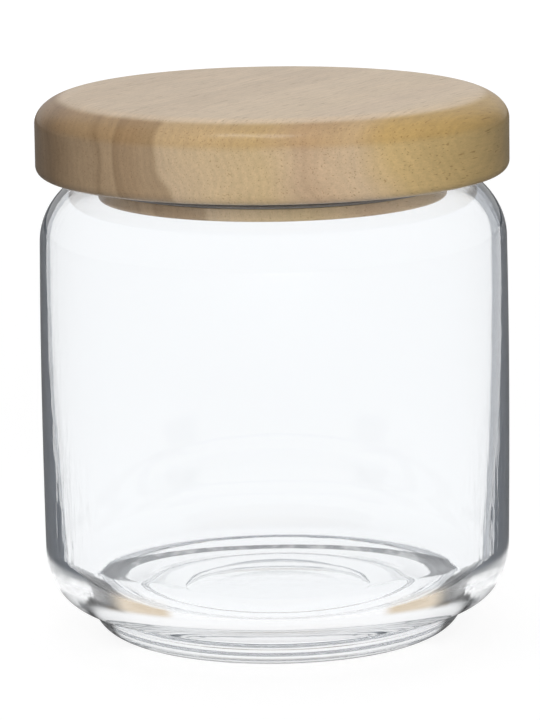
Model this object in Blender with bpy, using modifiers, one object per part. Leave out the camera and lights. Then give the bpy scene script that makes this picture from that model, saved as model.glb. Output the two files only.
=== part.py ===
"""Glass storage jar with a turned wooden lid and a finned silicone seal.

Three pieces on one axis: the pressed glass jar, the solid wood lid whose plug
drops into the jar's mouth, and the seal that sits in a groove round the plug.
Metres, +Z up. The origin is the centre of the foot's rest plane.
"""

import math

import bpy

MM = 0.001

# Turning: facets round the axis, and facets along each kind of curve
SEGMENTS = 64
CURVE_STEPS = 8
FINE_STEPS = 4
OUTER_SIDE_STEPS = 4
INNER_SIDE_STEPS = 6
MERGE_DISTANCE = 0.01 * MM

# Clearances between pieces that touch on the real jar
SEAT_GAP = 0.3 * MM
SEAL_GAP = 0.3 * MM
PLUG_GAP = 2.15 * MM

# Glass body, outside, widest at mid height and drawn in at both ends of the side
BODY_RADIUS = 49.72 * MM
BODY_TOP_INSET = 0.32 * MM
BODY_LOW_INSET = 0.22 * MM
SHOULDER_START = 84.5 * MM
SHOULDER_REACH = 18.5 * MM
SHOULDER_RISE = 16.0 * MM
SHOULDER_SWEEP = math.radians(61.5)
HEEL_START = 18.7 * MM
HEEL_REACH = 9.0 * MM
FOOT_HEIGHT = 6.6 * MM

# Stacking foot and the recess under it, inwards from the heel
FOOT_NOTCH = 0.8 * MM
FOOT_REACH = 8.0 * MM
REST_WIDTH = 1.3 * MM
REST_EDGE_ROUND = 1.2 * MM
RECESS_DEPTH = 2.0 * MM
RECESS_SLOPE = 1.2 * MM
RECESS_ROUND = 0.5 * MM
RECESS_LAND = 6.5 * MM
PUNT_STEP = 0.7 * MM
PUNT_SLOPE = 1.5 * MM
PUNT_CROWN = 0.4 * MM

# Glass body, inside: an even lip and shoulder, and a side that thickens near the floor
LIP_WALL = 1.4 * MM
LOW_WALL = 3.0 * MM
WALL_POWER = 2.2
FLOOR_HEIGHT = 9.2 * MM
INNER_CORNER_REACH = 11.0 * MM
INNER_CORNER_RISE = 11.0 * MM

# Wooden lid
LID_OVERHANG = 0.28 * MM
LID_THICKNESS = 16.75 * MM
LID_TOP_REACH = 9.2 * MM
LID_TOP_DROP = 5.9 * MM
LID_EDGE_ROUND = 2.1 * MM
PLUG_DEPTH = 5.5 * MM
PLUG_EDGE_ROUND = 0.8 * MM
GROOVE_TOP = 0.6 * MM
GROOVE_HEIGHT = 2.4 * MM
GROOVE_DEPTH = 1.8 * MM

# Silicone seal
SEAL_BAND = 1.0 * MM
FIN_COUNT = 2
FIN_THICKNESS = 0.5 * MM
FIN_TIP_THICKNESS = 0.3 * MM


def elliptic_arc(centre, reach, rise, start, end, steps):
    """Points of an arc of an ellipse, its angles in radians from +X."""
    points = []
    for step in range(steps + 1):
        angle = start + (end - start) * step / steps
        x = centre[0] + reach * math.cos(angle)
        z = centre[1] + rise * math.sin(angle)
        points.append((x, z))
    return points


def body_radius(height):
    """Outer radius of the jar's side, which bulges a little at mid height."""
    middle = (HEEL_START + SHOULDER_START) / 2.0
    away_share = (height - middle) / (SHOULDER_START - middle)
    inset = BODY_TOP_INSET if height > middle else BODY_LOW_INSET
    return BODY_RADIUS - inset * away_share ** 2


def heel_inner_radius():
    """Radius of the notch between the heel and the foot."""
    return body_radius(HEEL_START) - HEEL_REACH


def foot_radius():
    """Radius of the top of the stacking foot."""
    return heel_inner_radius() - FOOT_NOTCH


def rest_outer_radius():
    """Outer radius of the flat ring that the jar stands on."""
    return foot_radius() - FOOT_REACH


def lid_radius():
    """Radius of the lid's cap, just wider than the jar."""
    return BODY_RADIUS + LID_OVERHANG


def side_wall(height):
    """Thickness of the jar's side, which grows ever faster towards the base."""
    low = FLOOR_HEIGHT + INNER_CORNER_RISE
    share = (SHOULDER_START - height) / (SHOULDER_START - low)
    return LIP_WALL + (LOW_WALL - LIP_WALL) * share ** WALL_POWER


def shoulder_point(angle):
    """A point of the outer shoulder and the outward normal there."""
    x = body_radius(SHOULDER_START) - SHOULDER_REACH * (1.0 - math.cos(angle))
    z = SHOULDER_START + SHOULDER_RISE * math.sin(angle)
    normal_x = math.cos(angle) / SHOULDER_REACH
    normal_z = math.sin(angle) / SHOULDER_RISE
    length = math.hypot(normal_x, normal_z)
    return x, z, normal_x / length, normal_z / length


def shoulder_curve(depth):
    """The shoulder's curve, upwards, at a depth below its outer surface."""
    points = []
    for step in range(CURVE_STEPS + 1):
        x, z, normal_x, normal_z = shoulder_point(SHOULDER_SWEEP * step / CURVE_STEPS)
        points.append((x - depth * normal_x, z - depth * normal_z))
    return points


def lip_centre():
    """Centre of the round lip, and the angle of the shoulder's normal there."""
    x, z, normal_x, normal_z = shoulder_point(SHOULDER_SWEEP)
    half = LIP_WALL / 2.0
    return x - half * normal_x, z - half * normal_z, math.atan2(normal_z, normal_x)


def mouth_radius():
    """Inner radius of the mouth, where the lip comes nearest to the axis."""
    return lip_centre()[0] - LIP_WALL / 2.0


def rim_height():
    """Height of the top of the lip."""
    return lip_centre()[1] + LIP_WALL / 2.0


def cap_height():
    """Height of the cap's underside, just clear of the lip."""
    return rim_height() + SEAT_GAP


def plug_radius():
    """Radius of the lid's plug."""
    return mouth_radius() - PLUG_GAP


def side_points(low, high, steps, wall):
    """Points up the side at even heights, wall(height) inside its outer face."""
    points = []
    for step in range(steps + 1):
        height = low + (high - low) * step / steps
        points.append((body_radius(height) - wall(height), height))
    return points


def no_wall(height):
    """The outer face itself."""
    return 0.0


def joined(*runs):
    """One outline from runs of points, without a doubled point where they meet."""
    outline = []
    for run in runs:
        for point in run:
            if outline and math.dist(outline[-1], point) < MERGE_DISTANCE:
                continue
            outline.append(point)
    return outline


def jar_inside():
    """From the centre of the floor out to the wall and up to the lip."""
    corner_top = FLOOR_HEIGHT + INNER_CORNER_RISE
    wall_radius = body_radius(corner_top) - side_wall(corner_top)
    corner = elliptic_arc(
        (wall_radius - INNER_CORNER_REACH, corner_top),
        INNER_CORNER_REACH, INNER_CORNER_RISE,
        -math.pi / 2.0, 0.0, CURVE_STEPS)
    side = side_points(corner_top, SHOULDER_START, INNER_SIDE_STEPS, side_wall)
    return joined([(0.0, FLOOR_HEIGHT)], corner, side, shoulder_curve(LIP_WALL))


def jar_lip():
    """Half a circle over the lip, from the inner side to the outer side."""
    x, z, normal_angle = lip_centre()
    half = LIP_WALL / 2.0
    return elliptic_arc(
        (x, z), half, half, normal_angle + math.pi, normal_angle, CURVE_STEPS)


def jar_outside():
    """From the lip down the shoulder and side, round the heel to the foot."""
    shoulder = list(reversed(shoulder_curve(0.0)))
    side = side_points(SHOULDER_START, HEEL_START, OUTER_SIDE_STEPS, no_wall)
    heel = elliptic_arc(
        (heel_inner_radius(), HEEL_START), HEEL_REACH, HEEL_START - FOOT_HEIGHT,
        0.0, -math.pi / 2.0, CURVE_STEPS)
    foot = elliptic_arc(
        (rest_outer_radius(), FOOT_HEIGHT), FOOT_REACH, FOOT_HEIGHT,
        0.0, -math.pi / 2.0, CURVE_STEPS)
    return joined(shoulder, side, heel, foot)


def jar_underside():
    """From the rest ring up into the recess and its stepped punt."""
    rest_inner = rest_outer_radius() - REST_WIDTH
    edge = elliptic_arc(
        (rest_inner, REST_EDGE_ROUND), REST_EDGE_ROUND, REST_EDGE_ROUND,
        -math.pi / 2.0, -math.pi, FINE_STEPS)
    recess_radius = rest_inner - REST_EDGE_ROUND - RECESS_SLOPE
    punt_radius = recess_radius - RECESS_LAND
    punt_inner = punt_radius - PUNT_SLOPE
    punt_height = RECESS_DEPTH + PUNT_STEP
    slope = elliptic_arc(
        (recess_radius, RECESS_DEPTH - RECESS_ROUND), RECESS_SLOPE, RECESS_ROUND,
        0.0, math.pi / 2.0, FINE_STEPS)
    punt_step = [(punt_radius, RECESS_DEPTH), (punt_inner, punt_height)]
    crown = elliptic_arc(
        (0.0, punt_height), punt_inner, PUNT_CROWN, 0.0, math.pi / 2.0, FINE_STEPS)
    return joined(edge, slope, punt_step, crown)


def jar_profile():
    """The glass section, from the floor's centre round to the underside's."""
    return joined(jar_inside(), jar_lip(), jar_outside(), jar_underside())


def lid_profile():
    """The lid's section about the plane of the cap's underside."""
    cap_top = elliptic_arc(
        (lid_radius() - LID_TOP_REACH, LID_THICKNESS - LID_TOP_DROP),
        LID_TOP_REACH, LID_TOP_DROP, math.pi / 2.0, 0.0, CURVE_STEPS)
    cap_edge = elliptic_arc(
        (lid_radius() - LID_EDGE_ROUND, LID_EDGE_ROUND),
        LID_EDGE_ROUND, LID_EDGE_ROUND, 0.0, -math.pi / 2.0, FINE_STEPS)
    plug = plug_radius()
    groove_low = GROOVE_TOP + GROOVE_HEIGHT
    groove = [
        (plug, 0.0),
        (plug, -GROOVE_TOP),
        (plug - GROOVE_DEPTH, -GROOVE_TOP),
        (plug - GROOVE_DEPTH, -groove_low),
        (plug, -groove_low)]
    plug_edge = elliptic_arc(
        (plug - PLUG_EDGE_ROUND, PLUG_EDGE_ROUND - PLUG_DEPTH),
        PLUG_EDGE_ROUND, PLUG_EDGE_ROUND, 0.0, -math.pi / 2.0, FINE_STEPS)
    top_centre = [(0.0, LID_THICKNESS)]
    plug_centre = [(0.0, -PLUG_DEPTH)]
    return joined(top_centre, cap_top, cap_edge, groove, plug_edge, plug_centre)


def seal_profile():
    """The seal's closed section: a band in the groove with fins to the mouth."""
    inner = plug_radius() - GROOVE_DEPTH + SEAL_GAP
    band = inner + SEAL_BAND
    tip = mouth_radius() - SEAL_GAP
    top = -GROOVE_TOP - SEAL_GAP
    low = -GROOVE_TOP - GROOVE_HEIGHT + SEAL_GAP
    pitch = (top - low - FIN_THICKNESS) / (FIN_COUNT - 1)
    taper = (FIN_THICKNESS - FIN_TIP_THICKNESS) / 2.0
    points = [(inner, top)]
    for fin in range(FIN_COUNT):
        fin_top = top - pitch * fin
        points.append((band, fin_top))
        points.append((tip, fin_top - taper))
        points.append((tip, fin_top - FIN_THICKNESS + taper))
        points.append((band, fin_top - FIN_THICKNESS))
    points.append((inner, low))
    return points


def make_material(name, colour, roughness, **sockets):
    """A Principled material with its colour, roughness and any other sockets."""
    material = bpy.data.materials.new(name)
    material.use_nodes = True
    shader = material.node_tree.nodes["Principled BSDF"]
    shader.inputs["Base Color"].default_value = (*colour, 1.0)
    shader.inputs["Roughness"].default_value = roughness
    shader.inputs["Metallic"].default_value = 0.0
    for socket, value in sockets.items():
        shader.inputs[socket.replace("_", " ")].default_value = value
    material.diffuse_color = (*colour, 1.0)
    return material


def turned(name, profile, closed, material, collection):
    """A body turned from its section by a Screw modifier, one node."""
    count = len(profile)
    edges = [(index, index + 1) for index in range(count - 1)]
    if closed:
        edges.append((count - 1, 0))
    mesh = bpy.data.meshes.new(name)
    mesh.from_pydata([(x, 0.0, z) for x, z in profile], edges, [])
    body = bpy.data.objects.new(name, mesh)
    collection.objects.link(body)
    screw = body.modifiers.new("Turn", "SCREW")
    screw.axis = "Z"
    screw.angle = 2.0 * math.pi
    screw.steps = SEGMENTS
    screw.render_steps = SEGMENTS
    screw.use_merge_vertices = True
    screw.merge_threshold = MERGE_DISTANCE
    screw.use_smooth_shade = True
    shading = body.modifiers.new("Shading", "WEIGHTED_NORMAL")
    shading.keep_sharp = True
    mesh.materials.append(material)
    return body


def clear_scene():
    """Remove whatever the scene holds."""
    for item in list(bpy.data.objects):
        bpy.data.objects.remove(item, do_unlink=True)


def main():
    """Build the jar, the lid and its seal in place."""
    clear_scene()
    collection = bpy.data.collections.new("glass_jar_with_wooden_lid")
    bpy.context.scene.collection.children.link(collection)
    glass = make_material("clear_glass", (0.96, 0.98, 0.98), 0.02, Transmission_Weight=1.0, IOR=1.5)
    wood = make_material("lacquered_wood", (0.56, 0.41, 0.24), 0.38)
    silicone = make_material("clear_silicone", (0.62, 0.62, 0.63), 0.45)

    turned("glass_jar", jar_profile(), False, glass, collection)

    lid_axis = bpy.data.objects.new("lid_axis", None)
    lid_axis.empty_display_size = lid_radius()
    lid_axis.location = (0.0, 0.0, cap_height())
    collection.objects.link(lid_axis)
    seal = turned("seal_ring", seal_profile(), True, silicone, collection)
    seal.parent = lid_axis
    lid = turned("wooden_lid", lid_profile(), False, wood, collection)
    lid.parent = lid_axis


main()
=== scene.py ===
"""Looks of a glass storage jar with a turned wooden lid and a silicone seal.

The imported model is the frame. Each of its three nodes gets a finely turned
surface of the same section, and procedural materials for the clear glass, the
lacquered wood and the silicone. Metres, +Z up.
"""

import math

import bpy
from mathutils import Matrix, Vector


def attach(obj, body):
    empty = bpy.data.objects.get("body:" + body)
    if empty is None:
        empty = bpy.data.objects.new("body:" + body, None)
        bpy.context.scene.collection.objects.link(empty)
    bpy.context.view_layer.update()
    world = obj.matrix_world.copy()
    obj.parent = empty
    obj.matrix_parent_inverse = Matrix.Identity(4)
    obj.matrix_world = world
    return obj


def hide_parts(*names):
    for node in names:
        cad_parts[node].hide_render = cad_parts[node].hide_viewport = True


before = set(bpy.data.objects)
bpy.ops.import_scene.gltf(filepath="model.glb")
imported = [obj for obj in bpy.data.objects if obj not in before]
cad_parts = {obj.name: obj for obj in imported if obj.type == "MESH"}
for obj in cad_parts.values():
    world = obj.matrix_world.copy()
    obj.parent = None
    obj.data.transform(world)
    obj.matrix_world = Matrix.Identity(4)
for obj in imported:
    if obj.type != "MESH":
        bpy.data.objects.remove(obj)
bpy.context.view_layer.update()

MM = 0.001

# Camera, matched to the photograph's outlines
CAMERA_DISTANCE = 1000.0 * MM
CAMERA_HEIGHT = 247.25 * MM
CAMERA_SIDE = -1.07 * MM
CAMERA_PITCH = 0.1869
CAMERA_ROLL = 0.0140
FOCAL_PIXELS = 4787.0
IMAGE_LONG_SIDE = 720.0
SENSOR_WIDTH = 36.0
CLIP_START = 0.05
CLIP_END = 20.0

# Turning
SEGMENTS = 192
CURVE_STEPS = 24
SIDE_STEPS = 40
FIN_STEPS = 6
SAME_POINT = 0.002 * MM
ON_AXIS = 0.001 * MM
SHARP_ANGLE = math.radians(50.0)

# Sections, as the frame has them
SEAT_GAP = 0.3 * MM
SEAL_GAP = 0.3 * MM
PLUG_GAP = 2.15 * MM
BODY_RADIUS = 49.72 * MM
BODY_TOP_INSET = 0.32 * MM
BODY_LOW_INSET = 0.22 * MM
SHOULDER_START = 84.5 * MM
SHOULDER_REACH = 18.5 * MM
SHOULDER_RISE = 16.0 * MM
SHOULDER_SWEEP = math.radians(61.5)
HEEL_START = 18.7 * MM
HEEL_REACH = 9.0 * MM
FOOT_HEIGHT = 6.6 * MM
FOOT_NOTCH = 0.8 * MM
FOOT_REACH = 8.0 * MM
REST_WIDTH = 1.3 * MM
REST_EDGE_ROUND = 1.2 * MM
RECESS_DEPTH = 2.0 * MM
RECESS_SLOPE = 1.2 * MM
RECESS_ROUND = 0.5 * MM
RECESS_LAND = 6.5 * MM
PUNT_STEP = 0.7 * MM
PUNT_SLOPE = 1.5 * MM
PUNT_CROWN = 0.4 * MM
LIP_WALL = 1.4 * MM
LOW_WALL = 3.0 * MM
WALL_POWER = 2.2
FLOOR_HEIGHT = 9.2 * MM
INNER_CORNER_REACH = 11.0 * MM
INNER_CORNER_RISE = 11.0 * MM
LID_OVERHANG = 0.28 * MM
LID_THICKNESS = 16.75 * MM
LID_TOP_REACH = 9.2 * MM
LID_TOP_DROP = 5.9 * MM
LID_EDGE_ROUND = 2.1 * MM
PLUG_DEPTH = 5.5 * MM
PLUG_EDGE_ROUND = 0.8 * MM
GROOVE_TOP = 0.6 * MM
GROOVE_HEIGHT = 2.4 * MM
GROOVE_DEPTH = 1.8 * MM
SEAL_BAND = 1.0 * MM
FIN_COUNT = 2
FIN_THICKNESS = 0.5 * MM

# Shared by the materials. A pair is a range over which something fades, or the results
# at the two ends of such a range
WHITE = (1.0, 1.0, 1.0, 1.0)
BLACK = (0.0, 0.0, 0.0, 1.0)
PER_MM = (1.0 / MM,) * 3
UP = (0.0, 1.0)
DOWN = (1.0, 0.0)
NOISE_SPAN = (0.25, 0.75)
AROUND_ZERO = (-1.0, 1.0)

# The colour sockets of a Mix node, whose names are not unique
COLOUR_A = 6
COLOUR_B = 7
COLOUR_RESULT = 2

# Glass
GLASS_INDEX = 1.5
CLEAR_TINT = (0.965, 0.975, 0.985, 1.0)
LAMP_LIGHT_TINT = (0.85, 0.85, 0.85, 1.0)

# Painted shade in bands at the edges of the jar's side, for the dark studio seen in the wall.
# The pale one starts where a ray leaves the inner surface at this reflectance, on the left
# and on the right
SIDE_BOTTOM = (14.5 * MM, 18.5 * MM)
SIDE_TOP = (97.0 * MM, 91.0 * MM)
SIDE_OUTWARDS = (41.5 * MM, 43.0 * MM)
INNER_SURFACE = 48.95 * MM
PALE_SPREAD = 30.0 * MM
PALE_LEFT = 0.36
PALE_RIGHT = 0.205
PALE_FADE = 0.04
EDGE_SHADE = (0.17, 0.19, 0.22, 1.0)
# Where light would bounce inside the wall, the glass turns nearly opaque: a painted dark sheet of shade
DEEP_GLANCE = (0.97, 0.999)
DEEP_SHARE = 0.95

# Painted shade: the dark oval line in the jar's floor, where the foot under it shows dark
OVAL_REACH = 35.9 * MM
OVAL_DEPTH = 22.9 * MM
OVAL_BACK = 5.4 * MM
OVAL_HALF_SHARE = 0.068
OVAL_FADE_SHARE = 0.02
OVAL_FRONT = (-6.0 * MM, -2.0 * MM)
OVAL_LEVEL_OUTER = 1.5 * MM
OVAL_LEVEL_INNER = 1.0 * MM
OVAL_SHADE = (0.03, 0.033, 0.038, 1.0)
WISP_SCALE = (250.0, 90.0, 0.0)
WISP_DETAIL = 2.0
WISP_SPAN = (0.3, 0.55)
WISP_RESULTS = (0.8, 1.0)

# Painted shade at the dark ends of heel and foot, on the left and on the right. An end is
# where X is this share of the radius
HEEL_ENDS = (0.86, 0.94)
HEEL_BOTTOM = (5.5 * MM, 6.4 * MM)
HEEL_TOP = (15.5 * MM, 12.5 * MM)
HEEL_OUTWARDS = (41.0 * MM, 42.5 * MM)
HEEL_FRONT = (4.0 * MM, -1.0 * MM)
HEEL_SHADE = (0.04, 0.045, 0.05, 1.0)
FOOT_ENDS = (0.84, 0.90)
FOOT_TOP = (6.5 * MM, 6.1 * MM)
FOOT_OUTWARDS = (31.7 * MM, 32.7 * MM)
FOOT_SHADE = (0.05, 0.05, 0.05, 1.0)

# Waves in the glass, full at the ends of the lower wall and weak elsewhere
WAVE_DEPTH = 0.025 * MM
WAVE_SCALE = (0.35, 0.35, 0.07)
WAVE_DETAIL = 2.0
WAVE_TOP = (55.0 * MM, 20.0 * MM)
WAVE_BOTTOM = (11.0 * MM, 17.0 * MM)
WAVE_ENDS = (0.75, 0.95)
WAVE_RESULTS = (0.12, 1.0)
WAVE_STRENGTH = 1.0

# Wood, in millimetres and shares of the ring span. The grain lies in the plan, turned
# from +X, and ring distances run across it. A scale is along, across and up
GRAIN_TURN = math.radians(60.0)
RING_SPAN = 52.0
RING_DRIFT = 9.0
RING_DRIFT_SCALE = (0.012, 0.05, 0.07)
RING_DRIFT_DETAIL = 1.0
RING_LEAN = 0.17
RING_PITCH = 1.7
RING_CONTRAST = 0.025
KNOT = (-6.5, -49.5, 108.0)
KNOT_REACH = 9.0
KNOT_RISE = 5.0
BAND_TONES = [
    (0.00, (0.86, 0.84, 0.82)), (0.18, (0.83, 0.79, 0.76)), (0.20, (0.70, 0.66, 0.62)),
    (0.24, (0.85, 0.81, 0.77)), (0.29, (0.98, 0.97, 0.96)), (0.345, (0.98, 0.98, 0.98)),
    (0.37, (0.80, 0.78, 0.76)), (0.38, (1.02, 1.02, 1.02)), (0.41, (1.02, 1.02, 1.02)),
    (0.418, (0.76, 0.73, 0.70)), (0.44, (0.88, 0.86, 0.84)), (0.48, (0.86, 0.84, 0.82)),
    (0.52, (0.76, 0.73, 0.70)), (0.53, (1.04, 1.04, 1.04)), (0.62, (1.06, 1.06, 1.06)),
    (0.76, (1.00, 1.00, 1.00)), (0.79, (0.93, 0.90, 0.90)), (0.84, (1.03, 1.03, 1.04)),
    (1.00, (0.97, 0.97, 0.97))]
# Colours across the grain. The darker ones at the low end lie on the lid's left rim, partly the wood's
# own colour and partly painted shade
ZONE_COLOURS = [
    (0.00, (0.46, 0.325, 0.200)), (0.46, (0.48, 0.340, 0.210)), (0.54, (0.59, 0.445, 0.290)),
    (0.72, (0.58, 0.430, 0.240)), (0.78, (0.59, 0.430, 0.275)), (0.86, (0.63, 0.470, 0.300)),
    (0.91, (0.64, 0.460, 0.215)), (1.00, (0.63, 0.450, 0.200))]
# The top is painted lighter and paler, painted light and sheen, and the roundover under it darker and
# more golden, painted shade
TOP_HEIGHT = (114.6, 115.5)
TOP_SHARE = (0.0, 0.8)
TOP_LIGHT_COLOUR = (0.80, 0.635, 0.455, 1.0)
TOP_SHEEN_TONE = (0.94, 0.93, 0.92, 1.0)
ROUNDOVER_SHADE = (0.84, 0.78, 0.66, 1.0)
ROUNDOVER_SHADE_BOTTOM = (109.5, 111.5)
ROUNDOVER_SHADE_TOP = (115.4, 114.6)

# Layers of noise in the wood: scale, detail, roughness and contrast
WOOD_LAYERS = {
    "mottle": ((0.10, 0.22, 0.22), 3.0, 0.6, 0.06),
    "fibre": ((0.10, 1.6, 1.6), 3.0, 0.65, 0.07),
    "grit": ((1.2, 3.4, 3.4), 2.0, 0.6, 0.07)}
PORE_SCALE = (0.20, 3.4, 3.4)
PORE_DETAIL = 0.0
PORE_SPAN = (0.70, 0.78)
PORE_COLOURS = [(0.0, (1.0, 1.0, 1.0)), (1.0, (0.74, 0.68, 0.62))]
PORE_DEPTH = 0.05 * MM
FIBRE_RELIEF = 0.3
WOOD_RELIEF_STRENGTH = 0.5
WOOD_FINISH = {
    "Roughness": 0.5, "Specular IOR Level": 0.3, "Coat Weight": 0.4, "Coat Roughness": 0.15}

# Silicone, scales in millimetres
SILICONE_DARK = (0.17, 0.16, 0.15, 1.0)
SILICONE_PALE = (0.27, 0.26, 0.25, 1.0)
CLOUD_SCALE = (0.25, 0.25, 0.25)
CLOUD_DETAIL = 3.0
CLOUD_SPAN = (0.3, 0.7)
CLOUD_ROUGHNESS = (0.38, 0.52)
CLOUD_DEPTH = 0.05 * MM
CLOUD_STRENGTH = 0.3
DUST_SCALE = (5.0, 5.0, 5.0)
DUST_DETAIL = 1.0
DUST_SPAN = (0.62, 0.72)
DUST_SHARE = 0.35
DUST_COLOUR = (0.5, 0.49, 0.47, 1.0)

# Floor. Through the glass it has a painted shadow, dark in a contact zone at either side of
# the foot, and a painted reflection of the wood, warm in two streaks before it; mirrored it
# is bright only in a ring near the jar
FLOOR_SIZE = 6.0
FLOOR_DROP = 0.1 * MM
FLOOR_GLOW = 0.85
FLOOR_PAINT = (0.22, 0.22, 0.22, 1.0)
GLASS_FLOOR_GLOW = 0.90
CONTACT_INNER = (41.0 * MM, 44.0 * MM)
CONTACT_OUTER = (54.0 * MM, 68.0 * MM)
CONTACT_SIDE = (0.84, 0.94)
CONTACT_BACK = (5.0 * MM, 19.0 * MM)
WARM_SIDE = (0.58, 0.66)
WARM_FRONT = (-12.0 * MM, -16.0 * MM)
WARM_OUTER = (52.0 * MM, 55.0 * MM)
WARM_REFLECTION = (0.68, 0.54, 0.36, 1.0)
NEAR_INNER = (55.0 * MM, 60.0 * MM)
NEAR_OUTER = (85.0 * MM, 105.0 * MM)

# Studio. Ranges are parts of a direction of length one
WALL_BEHIND = 0.75
MIRROR_RISE = (0.45, 0.60)
MIRROR_LIGHT = (0.55, 0.25)
MIRROR_REAR = (0.2, 0.6)
MIRROR_MIDDLE = (0.35, 0.60)
MIRROR_DARK = 0.25
BOUNCED_LIGHT = 0.02
OVERHEAD = (0.86, 0.96)
OVERHEAD_LIGHT = (1.0, 0.25)
LIGHT_BOUNCES = 24

# Lamps: name, watts, width, height, place, and whether it shows as a highlight
LAMPS = [
    ("front", 10.2, 0.5, 0.7, (0.05, -1.10, 0.35), False),
    ("back_left", 4.0, 0.6, 0.6, (-0.4, 1.3, 0.45), False),
    ("back_right", 4.0, 0.6, 0.6, (0.4, 1.3, 0.45), False),
    ("top", 3.75, 0.5, 0.5, (0.0, 0.1, 1.11), False),
    ("highlight", 1.6, 0.43, 0.25, (-0.08, -0.148, 1.11), True)]
LAMP_AIM = (0.0, 0.0, 0.06)


def elliptic_arc(centre, reach, rise, start, end, steps=CURVE_STEPS):
    """Points on an ellipse from one angle to another."""
    points = []
    for step in range(steps + 1):
        angle = start + (end - start) * step / steps
        points.append((centre[0] + reach * math.cos(angle), centre[1] + rise * math.sin(angle)))
    return points


def body_radius(height):
    """Outer radius of the jar's side, which bulges a little at mid height."""
    middle = (HEEL_START + SHOULDER_START) / 2.0
    away_share = (height - middle) / (SHOULDER_START - middle)
    inset = BODY_TOP_INSET if height > middle else BODY_LOW_INSET
    return BODY_RADIUS - inset * away_share ** 2


def heel_inner_radius():
    return body_radius(HEEL_START) - HEEL_REACH


def foot_radius():
    return heel_inner_radius() - FOOT_NOTCH


def rest_outer_radius():
    return foot_radius() - FOOT_REACH


def lid_radius():
    return BODY_RADIUS + LID_OVERHANG


def side_wall(height):
    """Thickness of the jar's side, which grows fast towards the base."""
    low = FLOOR_HEIGHT + INNER_CORNER_RISE
    share = (SHOULDER_START - height) / (SHOULDER_START - low)
    return LIP_WALL + (LOW_WALL - LIP_WALL) * share ** WALL_POWER


def shoulder_point(angle):
    """A point on the shoulder's outer curve, and the direction out of the glass there."""
    x = body_radius(SHOULDER_START) - SHOULDER_REACH * (1.0 - math.cos(angle))
    z = SHOULDER_START + SHOULDER_RISE * math.sin(angle)
    normal = Vector((math.cos(angle) / SHOULDER_REACH, math.sin(angle) / SHOULDER_RISE)).normalized()
    return x, z, normal.x, normal.y


def shoulder_curve(depth):
    """The shoulder's curve at a depth inside its outer surface."""
    points = []
    for step in range(CURVE_STEPS + 1):
        x, z, normal_x, normal_z = shoulder_point(SHOULDER_SWEEP * step / CURVE_STEPS)
        points.append((x - depth * normal_x, z - depth * normal_z))
    return points


def lip_centre():
    """Centre of the lip's half round, and the angle at which the shoulder meets it."""
    x, z, normal_x, normal_z = shoulder_point(SHOULDER_SWEEP)
    half = LIP_WALL / 2.0
    return x - half * normal_x, z - half * normal_z, math.atan2(normal_z, normal_x)


def mouth_radius():
    return lip_centre()[0] - LIP_WALL / 2.0


def cap_height():
    return lip_centre()[1] + LIP_WALL / 2.0 + SEAT_GAP


def plug_radius():
    return mouth_radius() - PLUG_GAP


def side_points(low, high, wall):
    """Points along the jar's side, a wall's thickness inside its outer surface."""
    points = []
    for step in range(SIDE_STEPS + 1):
        height = low + (high - low) * step / SIDE_STEPS
        points.append((body_radius(height) - wall(height), height))
    return points


def joined(*runs):
    """Runs of points as one outline, without points that repeat."""
    outline = []
    for run in runs:
        for point in run:
            if outline and math.dist(outline[-1], point) < SAME_POINT:
                continue
            outline.append(point)
    return outline


def jar_profile():
    """The jar's section, from the middle of its floor over the lip to the middle below."""
    corner_top = FLOOR_HEIGHT + INNER_CORNER_RISE
    wall_radius = body_radius(corner_top) - side_wall(corner_top)
    corner = elliptic_arc(
        (wall_radius - INNER_CORNER_REACH, corner_top),
        INNER_CORNER_REACH, INNER_CORNER_RISE, -math.pi / 2.0, 0.0)
    inner_side = side_points(corner_top, SHOULDER_START, side_wall)
    x, z, angle = lip_centre()
    lip = elliptic_arc((x, z), LIP_WALL / 2.0, LIP_WALL / 2.0, angle + math.pi, angle)
    outer_side = side_points(SHOULDER_START, HEEL_START, lambda height: 0.0)
    heel = elliptic_arc(
        (heel_inner_radius(), HEEL_START), HEEL_REACH, HEEL_START - FOOT_HEIGHT, 0.0, -math.pi / 2.0)
    foot = elliptic_arc(
        (rest_outer_radius(), FOOT_HEIGHT), FOOT_REACH, FOOT_HEIGHT, 0.0, -math.pi / 2.0)
    rest_inner = rest_outer_radius() - REST_WIDTH
    edge = elliptic_arc(
        (rest_inner, REST_EDGE_ROUND), REST_EDGE_ROUND, REST_EDGE_ROUND, -math.pi / 2.0, -math.pi)
    recess_radius = rest_inner - REST_EDGE_ROUND - RECESS_SLOPE
    punt_radius = recess_radius - RECESS_LAND
    punt_height = RECESS_DEPTH + PUNT_STEP
    slopes = elliptic_arc(
        (recess_radius, RECESS_DEPTH - RECESS_ROUND), RECESS_SLOPE, RECESS_ROUND, 0.0, math.pi / 2.0)
    slopes += [(punt_radius, RECESS_DEPTH), (punt_radius - PUNT_SLOPE, punt_height)]
    crown = elliptic_arc(
        (0.0, punt_height), punt_radius - PUNT_SLOPE, PUNT_CROWN, 0.0, math.pi / 2.0)
    return joined(
        [(0.0, FLOOR_HEIGHT)], corner, inner_side, shoulder_curve(LIP_WALL), lip,
        list(reversed(shoulder_curve(0.0))), outer_side, heel, foot, edge, slopes, crown)


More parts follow.
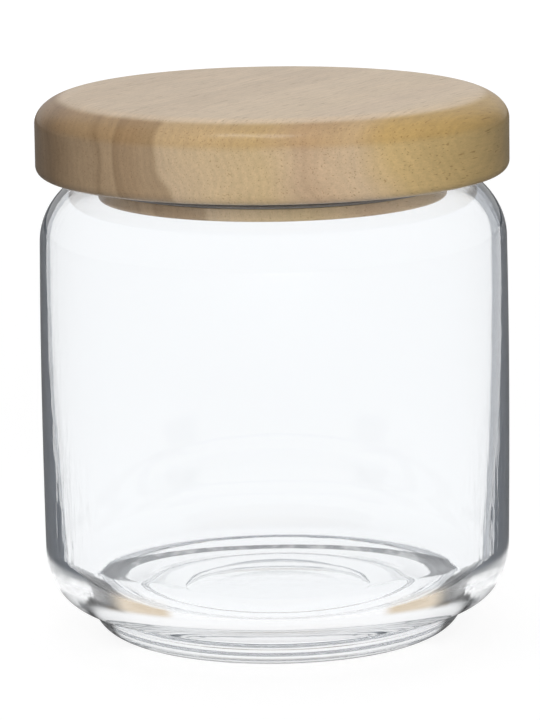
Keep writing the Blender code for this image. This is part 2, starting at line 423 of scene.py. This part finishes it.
def lid_profile():
    """The lid's section, from the middle of its top to the middle of its plug."""
    seat = cap_height()
    top = seat + LID_THICKNESS
    cap_top = elliptic_arc(
        (lid_radius() - LID_TOP_REACH, top - LID_TOP_DROP), LID_TOP_REACH, LID_TOP_DROP,
        math.pi / 2.0, 0.0)
    cap_edge = elliptic_arc(
        (lid_radius() - LID_EDGE_ROUND, seat + LID_EDGE_ROUND), LID_EDGE_ROUND, LID_EDGE_ROUND,
        0.0, -math.pi / 2.0)
    plug = plug_radius()
    groove_top = seat - GROOVE_TOP
    groove_low = groove_top - GROOVE_HEIGHT
    groove = [
        (plug, seat), (plug, groove_top), (plug - GROOVE_DEPTH, groove_top),
        (plug - GROOVE_DEPTH, groove_low), (plug, groove_low)]
    plug_edge = elliptic_arc(
        (plug - PLUG_EDGE_ROUND, seat - PLUG_DEPTH + PLUG_EDGE_ROUND),
        PLUG_EDGE_ROUND, PLUG_EDGE_ROUND, 0.0, -math.pi / 2.0)
    return joined([(0.0, top)], cap_top, cap_edge, groove, plug_edge, [(0.0, seat - PLUG_DEPTH)])


def seal_profile():
    """The seal's closed section: a band in the groove, with fins towards the glass."""
    seat = cap_height()
    inner = plug_radius() - GROOVE_DEPTH + SEAL_GAP
    band = inner + SEAL_BAND
    tip = mouth_radius() - SEAL_GAP
    top = seat - GROOVE_TOP - SEAL_GAP
    low = seat - GROOVE_TOP - GROOVE_HEIGHT + SEAL_GAP
    pitch = (top - low - FIN_THICKNESS) / (FIN_COUNT - 1)
    half = FIN_THICKNESS / 2.0
    points = [(inner, top)]
    for fin in range(FIN_COUNT):
        middle = top - pitch * fin - half
        points.append((band, middle + half))
        points += elliptic_arc(
            (tip - half, middle), half, half, math.pi / 2.0, -math.pi / 2.0, FIN_STEPS)
        points.append((band, middle - half))
    points.append((inner, low))
    return points


def turned(name, profile, closed=False):
    """A finely turned mesh; a point on the axis becomes one vertex."""
    rows = []
    vertices = []
    for x, z in profile:
        if x < ON_AXIS:
            rows.append([len(vertices)] * SEGMENTS)
            vertices.append((0.0, 0.0, z))
            continue
        row = []
        for step in range(SEGMENTS):
            angle = 2.0 * math.pi * step / SEGMENTS
            row.append(len(vertices))
            vertices.append((x * math.cos(angle), x * math.sin(angle), z))
        rows.append(row)
    if closed:
        rows.append(rows[0])
    faces = []
    for upper, lower in zip(rows, rows[1:]):
        for step in range(SEGMENTS):
            after = (step + 1) % SEGMENTS
            corners = []
            for corner in (upper[step], lower[step], lower[after], upper[after]):
                if corner not in corners:
                    corners.append(corner)
            if len(corners) > 2:
                faces.append(corners)
    mesh = bpy.data.meshes.new(name)
    mesh.from_pydata(vertices, [], faces)
    mesh.validate()
    mesh.shade_smooth()
    mesh.set_sharp_from_angle(angle=SHARP_ANGLE)
    piece = bpy.data.objects.new(name, mesh)
    bpy.context.scene.collection.objects.link(piece)
    return piece


def set_inputs(tree, node, inputs):
    """Inputs of a node, given as values or as sockets to link."""
    for socket, value in inputs.items():
        if isinstance(value, bpy.types.NodeSocket):
            tree.links.new(value, node.inputs[socket])
        else:
            node.inputs[socket].default_value = value


def add_node(tree, kind, inputs=None, **settings):
    """A shader node with its settings and its inputs."""
    node = tree.nodes.new(kind)
    for name, value in settings.items():
        setattr(node, name, value)
    set_inputs(tree, node, inputs or {})
    return node


def calculate(tree, operation, first, second=0.0, third=0.0):
    """The result of a Math node."""
    node = add_node(
        tree, "ShaderNodeMath", {0: first, 1: second, 2: third}, operation=operation)
    return node.outputs[0]


def product(tree, first, *others):
    """Values multiplied with one another, in their order."""
    result = first
    for value in others:
        result = calculate(tree, "MULTIPLY", result, value)
    return result


def opposite(tree, value):
    """A share taken from one."""
    return calculate(tree, "SUBTRACT", 1.0, value)


def ramp(tree, value, span, results=UP, kind="SMOOTHSTEP"):
    """A value mapped from one range to another and held at its ends."""
    node = add_node(
        tree, "ShaderNodeMapRange",
        {"Value": value, "From Min": span[0], "From Max": span[1],
         "To Min": results[0], "To Max": results[1]},
        interpolation_type=kind)
    return node.outputs["Result"]


def blend_values(tree, factor, first, second):
    """Two values mixed by a factor."""
    node = add_node(
        tree, "ShaderNodeMix", {"Factor": factor, "A": first, "B": second}, data_type="FLOAT")
    return node.outputs["Result"]


def blend_colours(tree, factor, first, second, kind="MIX"):
    """Two colours mixed by a factor."""
    node = add_node(
        tree, "ShaderNodeMix", {"Factor": factor, COLOUR_A: first, COLOUR_B: second},
        data_type="RGBA", blend_type=kind)
    return node.outputs[COLOUR_RESULT]


def multiply_colours(tree, first, second):
    """One colour multiplied by another."""
    return blend_colours(tree, 1.0, first, second, "MULTIPLY")


def colour_ramp(tree, value, stops):
    """A colour ramp from given places and colours."""
    node = add_node(tree, "ShaderNodeValToRGB", {0: value})
    elements = node.color_ramp.elements
    while len(elements) < len(stops):
        elements.new(0.5)
    for element, (place, colour) in zip(elements, stops):
        element.position = place
        element.color = (*colour, 1.0)
    return node.outputs[0]


def shade(tree, colour, value, contrast):
    """A colour made lighter and darker by a value around zero."""
    factor = calculate(tree, "MULTIPLY_ADD", value, contrast, 1.0)
    grey = add_node(tree, "ShaderNodeCombineColor", {0: factor, 1: factor, 2: factor}).outputs[0]
    return multiply_colours(tree, colour, grey)


def vector_math(tree, operation, first, second=(0.0, 0.0, 0.0)):
    """The outputs of a Vector Math node."""
    node = add_node(tree, "ShaderNodeVectorMath", {0: first, 1: second}, operation=operation)
    return node.outputs


def multiply_vector(tree, vector, factors):
    """A vector scaled along each axis."""
    return vector_math(tree, "MULTIPLY", vector, factors)[0]


def noise(tree, vector, factors, detail=2.0, roughness=0.5):
    """Noise over coordinates scaled along each axis, from 0 to 1 around one half."""
    node = add_node(
        tree, "ShaderNodeTexNoise",
        {"Vector": multiply_vector(tree, vector, factors), "Scale": 1.0, "Detail": detail,
         "Roughness": roughness})
    return node.outputs[0]


def centred(tree, value):
    """Noise moved to lie around zero, about one either way."""
    return ramp(tree, value, NOISE_SPAN, AROUND_ZERO, "LINEAR")


def vector_parts(tree, vector):
    """A vector's outputs X, Y and Z."""
    return add_node(tree, "ShaderNodeSeparateXYZ", {0: vector}).outputs


def object_place(tree):
    """The place on the object, in metres from its origin."""
    return add_node(tree, "ShaderNodeTexCoord").outputs["Object"]


def distance_from_axis(tree, place):
    """Distance from the jar's axis."""
    flat = multiply_vector(tree, place, (1.0, 1.0, 0.0))
    return vector_math(tree, "LENGTH", flat)["Value"]


def sideways_share(tree, parts, radius):
    """How far to the left or right a place is, as a share of its radius."""
    return calculate(tree, "DIVIDE", calculate(tree, "ABSOLUTE", parts["X"]), radius)


def new_material(name):
    """A material with its node tree and its Principled shader."""
    material = bpy.data.materials.new(name)
    material.use_nodes = True
    return material, material.node_tree, material.node_tree.nodes["Principled BSDF"]


def add_relief(tree, shader, height, strength, depth):
    """Bump on a shader."""
    bump = add_node(
        tree, "ShaderNodeBump", {"Height": height, "Strength": strength, "Distance": depth})
    tree.links.new(bump.outputs[0], shader.inputs["Normal"])


def inside_wall(tree, height, radius, behind):
    """Where a ray inside the wall meets the jar's side or shoulder."""
    top = calculate(
        tree, "MAXIMUM", ramp(tree, height, SIDE_TOP), ramp(tree, radius, SIDE_OUTWARDS))
    return product(tree, behind, product(tree, ramp(tree, height, SIDE_BOTTOM), top))


def pale_band_shade(tree, parts, radius, glance, inside):
    """Painted shade: the paler grey band just inside the dark edge of the jar's side."""
    start = ramp(
        tree, parts["X"], (-PALE_SPREAD, PALE_SPREAD), (PALE_LEFT, PALE_RIGHT), "LINEAR")
    pale = ramp(tree, glance, (start, calculate(tree, "ADD", start, PALE_FADE)))
    return product(tree, pale, calculate(tree, "LESS_THAN", radius, INNER_SURFACE), inside)


def floor_oval_shade(tree, place, parts):
    """Painted shade: an oval line in the back half of the jar's floor, where the foot under it shows
    dark.
    """
    oval = vector_math(tree, "SUBTRACT", place, (0.0, OVAL_BACK, 0.0))[0]
    oval = multiply_vector(tree, oval, (1.0 / OVAL_REACH, 1.0 / OVAL_DEPTH, 0.0))
    oval = vector_math(tree, "LENGTH", oval)["Value"]
    away = calculate(tree, "ABSOLUTE", calculate(tree, "SUBTRACT", oval, 1.0))
    wisps = noise(tree, place, WISP_SCALE, WISP_DETAIL)
    above = (FLOOR_HEIGHT - OVAL_LEVEL_OUTER, FLOOR_HEIGHT - OVAL_LEVEL_INNER)
    below = (FLOOR_HEIGHT + OVAL_LEVEL_OUTER, FLOOR_HEIGHT + OVAL_LEVEL_INNER)
    return product(
        tree, ramp(tree, away, (OVAL_HALF_SHARE, OVAL_HALF_SHARE + OVAL_FADE_SHARE), DOWN),
        ramp(tree, parts["Y"], OVAL_FRONT), ramp(tree, wisps, WISP_SPAN, WISP_RESULTS),
        ramp(tree, parts["Z"], above), ramp(tree, parts["Z"], below))


def heel_end_shade(tree, parts, radius, ends, behind):
    """Painted shade at the dark ends of the heel, seen from inside the glass."""
    height = parts["Z"]
    return product(
        tree, ramp(tree, ends, HEEL_ENDS), behind,
        ramp(tree, height, HEEL_BOTTOM), ramp(tree, height, HEEL_TOP),
        ramp(tree, radius, HEEL_OUTWARDS), ramp(tree, parts["Y"], HEEL_FRONT))


def foot_end_shade(tree, height, radius, ends, behind):
    """Painted shade at the dark ends of the foot, seen from outside."""
    foot = product(
        tree, calculate(tree, "SUBTRACT", ramp(tree, ends, FOOT_ENDS), behind),
        ramp(tree, height, FOOT_TOP), ramp(tree, radius, FOOT_OUTWARDS))
    return calculate(tree, "MAXIMUM", foot, 0.0)


def glass_waves(tree, place, height, ends):
    """Slow waves in the surface of the glass."""
    grain = multiply_vector(tree, place, PER_MM)
    return product(
        tree, centred(tree, noise(tree, grain, WAVE_SCALE, WAVE_DETAIL)),
        ramp(tree, height, WAVE_TOP, WAVE_RESULTS), ramp(tree, height, WAVE_BOTTOM, WAVE_RESULTS),
        ramp(tree, ends, WAVE_ENDS, WAVE_RESULTS))


def glass_material():
    """Clear glass with painted shade. Where light bounces inside the wall, its edge is painted
    deep grey, with a paler grey band just inside it, for the dark sides of a studio; the
    floor's oval line and the ends of heel and foot are painted dark too."""
    material, tree, shader = new_material("clear_glass")
    behind = add_node(tree, "ShaderNodeNewGeometry").outputs["Backfacing"]
    glance = add_node(tree, "ShaderNodeFresnel", {"IOR": GLASS_INDEX}).outputs[0]
    place = object_place(tree)
    parts = vector_parts(tree, place)
    height = parts["Z"]
    radius = distance_from_axis(tree, place)
    ends = sideways_share(tree, parts, radius)
    inside = inside_wall(tree, height, radius, behind)
    # Painted shade: here the glass turns nearly opaque, a dark sheet at the wall's edge
    deep = product(tree, ramp(tree, glance, DEEP_GLANCE), inside)
    tint_and_shade = CLEAR_TINT
    # The clear glass colour, with painted shade blended in at the edge band, the floor's oval and the
    # ends of heel and foot
    for share, colour in (
            (pale_band_shade(tree, parts, radius, glance, inside), EDGE_SHADE),
            (floor_oval_shade(tree, place, parts), OVAL_SHADE),
            (heel_end_shade(tree, parts, radius, ends, behind), HEEL_SHADE),
            (foot_end_shade(tree, height, radius, ends, behind), FOOT_SHADE)):
        tint_and_shade = blend_colours(tree, share, tint_and_shade, colour)
    set_inputs(tree, shader, {
        "Roughness": 0.0, "IOR": GLASS_INDEX, "Base Color": tint_and_shade,
        "Transmission Weight": calculate(tree, "MULTIPLY_ADD", deep, -DEEP_SHARE, 1.0)})
    waves = glass_waves(tree, place, height, ends)
    add_relief(tree, shader, waves, WAVE_STRENGTH, WAVE_DEPTH)
    path = add_node(tree, "ShaderNodeLightPath")
    lamp_light = add_node(tree, "ShaderNodeBsdfTransparent", {"Color": LAMP_LIGHT_TINT})
    lets_through = add_node(
        tree, "ShaderNodeMixShader",
        {0: path.outputs["Is Shadow Ray"], 1: shader.outputs[0], 2: lamp_light.outputs[0]})
    output = tree.nodes["Material Output"]
    tree.links.new(lets_through.outputs[0], output.inputs[0])
    return material


def growth_rings(tree, grain):
    """Distance across the growth rings in millimetres, bent round a small knot."""
    parts = vector_parts(tree, grain)
    drift = noise(tree, grain, RING_DRIFT_SCALE, RING_DRIFT_DETAIL)
    drift = product(tree, calculate(tree, "SUBTRACT", drift, 0.5), RING_DRIFT)
    lean = product(tree, calculate(tree, "SUBTRACT", parts["Z"], KNOT[2]), RING_LEAN)
    away = vector_math(tree, "SUBTRACT", grain, KNOT)[0]
    away = multiply_vector(tree, away, (1.0 / KNOT_REACH,) * 3)
    away = vector_math(tree, "DOT_PRODUCT", away, away)["Value"]
    knot = calculate(tree, "EXPONENT", product(tree, away, -1.0))
    rings = calculate(tree, "SUBTRACT", calculate(tree, "ADD", drift, lean), parts["Y"])
    return calculate(tree, "ADD", rings, product(tree, knot, KNOT_RISE))


def wood_material():
    """Satin lacquered rubberwood: growth bands, fibres, pores and one small knot. The top is
    painted lighter and paler, painted light and sheen, and the roundover under it darker,
    painted shade. The texture is worked out in millimetres with X along the grain."""
    material, tree, shader = new_material("lacquered_wood")
    grain = add_node(
        tree, "ShaderNodeMapping",
        {"Vector": object_place(tree), "Rotation": (0.0, 0.0, -GRAIN_TURN), "Scale": PER_MM})
    grain = grain.outputs[0]
    height = vector_parts(tree, grain)["Z"]
    rings = growth_rings(tree, grain)
    across = ramp(tree, rings, (-RING_SPAN, RING_SPAN), UP, "LINEAR")
    # Painted light and sheen: the top lighter and paler, its bands muted
    flat = ramp(tree, height, TOP_HEIGHT, TOP_SHARE)
    tone_and_top_sheen = blend_colours(tree, flat, colour_ramp(tree, across, BAND_TONES), TOP_SHEEN_TONE)
    hue_and_top_light = blend_colours(tree, flat, colour_ramp(tree, across, ZONE_COLOURS), TOP_LIGHT_COLOUR)
    colour = multiply_colours(tree, hue_and_top_light, tone_and_top_sheen)
    # Painted shade: the roundover under the top darker and more golden
    roundover_shade = product(tree, ramp(tree, height, ROUNDOVER_SHADE_BOTTOM), ramp(tree, height, ROUNDOVER_SHADE_TOP))
    colour = multiply_colours(tree, colour, blend_colours(tree, roundover_shade, WHITE, ROUNDOVER_SHADE))

    wave = calculate(tree, "SINE", product(tree, rings, math.tau / RING_PITCH))
    colour = shade(tree, colour, wave, RING_CONTRAST)
    layers = {}
    for name, (scale, detail, roughness, contrast) in WOOD_LAYERS.items():
        layers[name] = centred(tree, noise(tree, grain, scale, detail, roughness))
        colour = shade(tree, colour, layers[name], contrast)

    pores = ramp(tree, noise(tree, grain, PORE_SCALE, PORE_DETAIL), PORE_SPAN)
    colour = multiply_colours(tree, colour, colour_ramp(tree, pores, PORE_COLOURS))
    set_inputs(tree, shader, {"Base Color": colour, **WOOD_FINISH})
    relief = calculate(tree, "SUBTRACT", product(tree, layers["fibre"], FIBRE_RELIEF), pores)
    add_relief(tree, shader, relief, WOOD_RELIEF_STRENGTH, PORE_DEPTH)
    return material


def silicone_material():
    """Smoke-grey silicone with the faint cloudiness and dust that it picks up."""
    material, tree, shader = new_material("clear_silicone")
    grain = multiply_vector(tree, object_place(tree), PER_MM)
    cloud = noise(tree, grain, CLOUD_SCALE, CLOUD_DETAIL)
    dust = ramp(tree, noise(tree, grain, DUST_SCALE, DUST_DETAIL), DUST_SPAN)
    colour = blend_colours(tree, cloud, SILICONE_DARK, SILICONE_PALE)
    colour = blend_colours(tree, product(tree, dust, DUST_SHARE), colour, DUST_COLOUR)
    set_inputs(tree, shader, {
        "Base Color": colour, "Roughness": ramp(tree, cloud, CLOUD_SPAN, CLOUD_ROUGHNESS)})
    add_relief(tree, shader, cloud, CLOUD_STRENGTH, CLOUD_DEPTH)
    return material


def floor_material():
    """White to the camera. Through the glass it is white but for a painted shadow, dark
    patches at either side of the foot, and a painted reflection of the wood, two warm streaks
    before it. Bounced light finds a plain grey, and mirrored it is that grey too, but for a
    white ring near the jar."""
    material = bpy.data.materials.new("floor")
    material.use_nodes = True
    tree = material.node_tree
    tree.nodes.clear()
    path = add_node(tree, "ShaderNodeLightPath").outputs
    place = object_place(tree)
    parts = vector_parts(tree, place)
    depth = parts["Y"]
    away = distance_from_axis(tree, place)
    sideways = sideways_share(tree, parts, away)

    # Painted shadow: the contact zone at either side of the foot, dark through the glass
    inner = ramp(tree, away, CONTACT_INNER, DOWN)
    outer = ramp(tree, away, CONTACT_OUTER)
    front = calculate(
        tree, "MAXIMUM", ramp(tree, sideways, CONTACT_SIDE, DOWN), ramp(tree, depth, CONTACT_BACK))
    lit = calculate(tree, "MAXIMUM", calculate(tree, "MAXIMUM", outer, inner), front)
    lit = calculate(tree, "MAXIMUM", lit, opposite(tree, path["Is Transmission Ray"]))
    # Painted reflection of the wood: two warm streaks before the foot, through the glass
    warm = product(
        tree, ramp(tree, sideways, WARM_SIDE), ramp(tree, depth, WARM_FRONT),
        opposite(tree, inner), ramp(tree, away, WARM_OUTER, DOWN), path["Is Transmission Ray"])
    strength = blend_values(
        tree, path["Is Camera Ray"], product(tree, lit, GLASS_FLOOR_GLOW), FLOOR_GLOW)
    glow = add_node(
        tree, "ShaderNodeEmission",
        {"Color": blend_colours(tree, warm, WHITE, WARM_REFLECTION), "Strength": strength})
    paint = add_node(
        tree, "ShaderNodeBsdfDiffuse", {"Color": blend_colours(tree, lit, BLACK, FLOOR_PAINT)})
    seen = add_node(tree, "ShaderNodeAddShader", {0: glow.outputs[0], 1: paint.outputs[0]})

    mirrored = calculate(tree, "SUBTRACT", path["Is Glossy Ray"], path["Is Transmission Ray"])
    near = product(tree, ramp(tree, away, NEAR_INNER), ramp(tree, away, NEAR_OUTER, DOWN))
    mirrored = product(tree, mirrored, opposite(tree, near))
    bounced = calculate(tree, "MAXIMUM", path["Is Diffuse Ray"], mirrored)
    shown = add_node(
        tree, "ShaderNodeMixShader", {0: bounced, 1: seen.outputs[0], 2: paint.outputs[0]})
    add_node(tree, "ShaderNodeOutputMaterial", {0: shown.outputs[0]})
    return material


def make_floor():
    """A pale floor just under the foot."""
    bpy.ops.mesh.primitive_plane_add(size=FLOOR_SIZE, location=(0.0, 0.0, -FLOOR_DROP))
    floor = bpy.context.object
    floor.name = "floor"
    floor.data.materials.append(floor_material())


def make_world():
    """A plain studio: white to the camera, and through the glass too, except straight up.
    Mirrored it is paler low down behind and dark elsewhere, and light that bounces off
    a dull surface finds it nearly black."""
    world = bpy.data.worlds.new("studio")
    bpy.context.scene.world = world
    world.use_nodes = True
    tree = world.node_tree
    tree.nodes.clear()
    path = add_node(tree, "ShaderNodeLightPath").outputs
    place = add_node(tree, "ShaderNodeTexCoord")
    way = vector_parts(tree, place.outputs["Generated"])
    behind = product(tree, calculate(tree, "MAXIMUM", way["Y"], 0.0), WALL_BEHIND)
    rise = calculate(tree, "SUBTRACT", way["Z"], behind)
    aside = calculate(tree, "ABSOLUTE", way["X"])
    rear = product(tree, ramp(tree, way["Y"], MIRROR_REAR), ramp(tree, aside, MIRROR_MIDDLE, DOWN))
    mirrored = blend_values(tree, rear, MIRROR_DARK, ramp(tree, rise, MIRROR_RISE, MIRROR_LIGHT))
    through = ramp(tree, way["Z"], OVERHEAD, OVERHEAD_LIGHT)
    light = blend_values(tree, path["Is Diffuse Ray"], mirrored, BOUNCED_LIGHT)
    light = blend_values(tree, path["Is Transmission Ray"], light, through)
    light = blend_values(tree, path["Is Camera Ray"], light, 1.0)
    background = add_node(tree, "ShaderNodeBackground", {"Color": WHITE, "Strength": light})
    add_node(tree, "ShaderNodeOutputWorld", {0: background.outputs[0]})


def add_lamp(name, power, width, height, place, highlight):
    """A rectangular lamp that faces the middle of the jar and isn't seen through glass."""
    data = bpy.data.lights.new(name, "AREA")
    data.energy = power
    data.shape = "RECTANGLE"
    data.size = width
    data.size_y = height
    lamp = bpy.data.objects.new(name, data)
    lamp.location = place
    aim = Vector(LAMP_AIM) - lamp.location
    lamp.rotation_euler = aim.to_track_quat("-Z", "Y").to_euler()
    lamp.visible_transmission = False
    lamp.visible_glossy = highlight
    bpy.context.scene.collection.objects.link(lamp)


def make_lights():
    """A tall low softbox in front, two behind, one overhead, and a small one beside it,
    which is the only one that shows as a highlight."""
    for lamp in LAMPS:
        add_lamp(*lamp)


def make_camera():
    """The camera of the photograph."""
    data = bpy.data.cameras.new("camera")
    data.sensor_width = SENSOR_WIDTH
    data.lens = FOCAL_PIXELS * SENSOR_WIDTH / IMAGE_LONG_SIDE
    data.clip_start = CLIP_START
    data.clip_end = CLIP_END
    camera = bpy.data.objects.new("camera", data)
    turn = Matrix.Rotation(math.pi / 2.0 - CAMERA_PITCH, 4, "X") @ Matrix.Rotation(-CAMERA_ROLL, 4, "Z")
    camera.matrix_world = Matrix.Translation((CAMERA_SIDE, -CAMERA_DISTANCE, CAMERA_HEIGHT)) @ turn
    bpy.context.scene.collection.objects.link(camera)
    bpy.context.scene.camera = camera


def main():
    scene = bpy.context.scene
    scene.view_settings.view_transform = "Standard"
    scene.cycles.max_bounces = LIGHT_BOUNCES
    scene.cycles.glossy_bounces = LIGHT_BOUNCES
    scene.cycles.transmission_bounces = LIGHT_BOUNCES
    make_camera()
    make_world()
    make_lights()
    make_floor()
    glass = turned("glass_body", jar_profile())
    glass.data.materials.append(glass_material())
    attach(glass, "jar")
    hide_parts("glass_jar")
    lid = turned("turned_lid", lid_profile())
    lid.data.materials.append(wood_material())
    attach(lid, "lid")
    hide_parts("wooden_lid")
    seal = turned("finned_seal", seal_profile(), closed=True)
    seal.data.materials.append(silicone_material())
    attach(seal, "seal")
    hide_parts("seal_ring")


main()
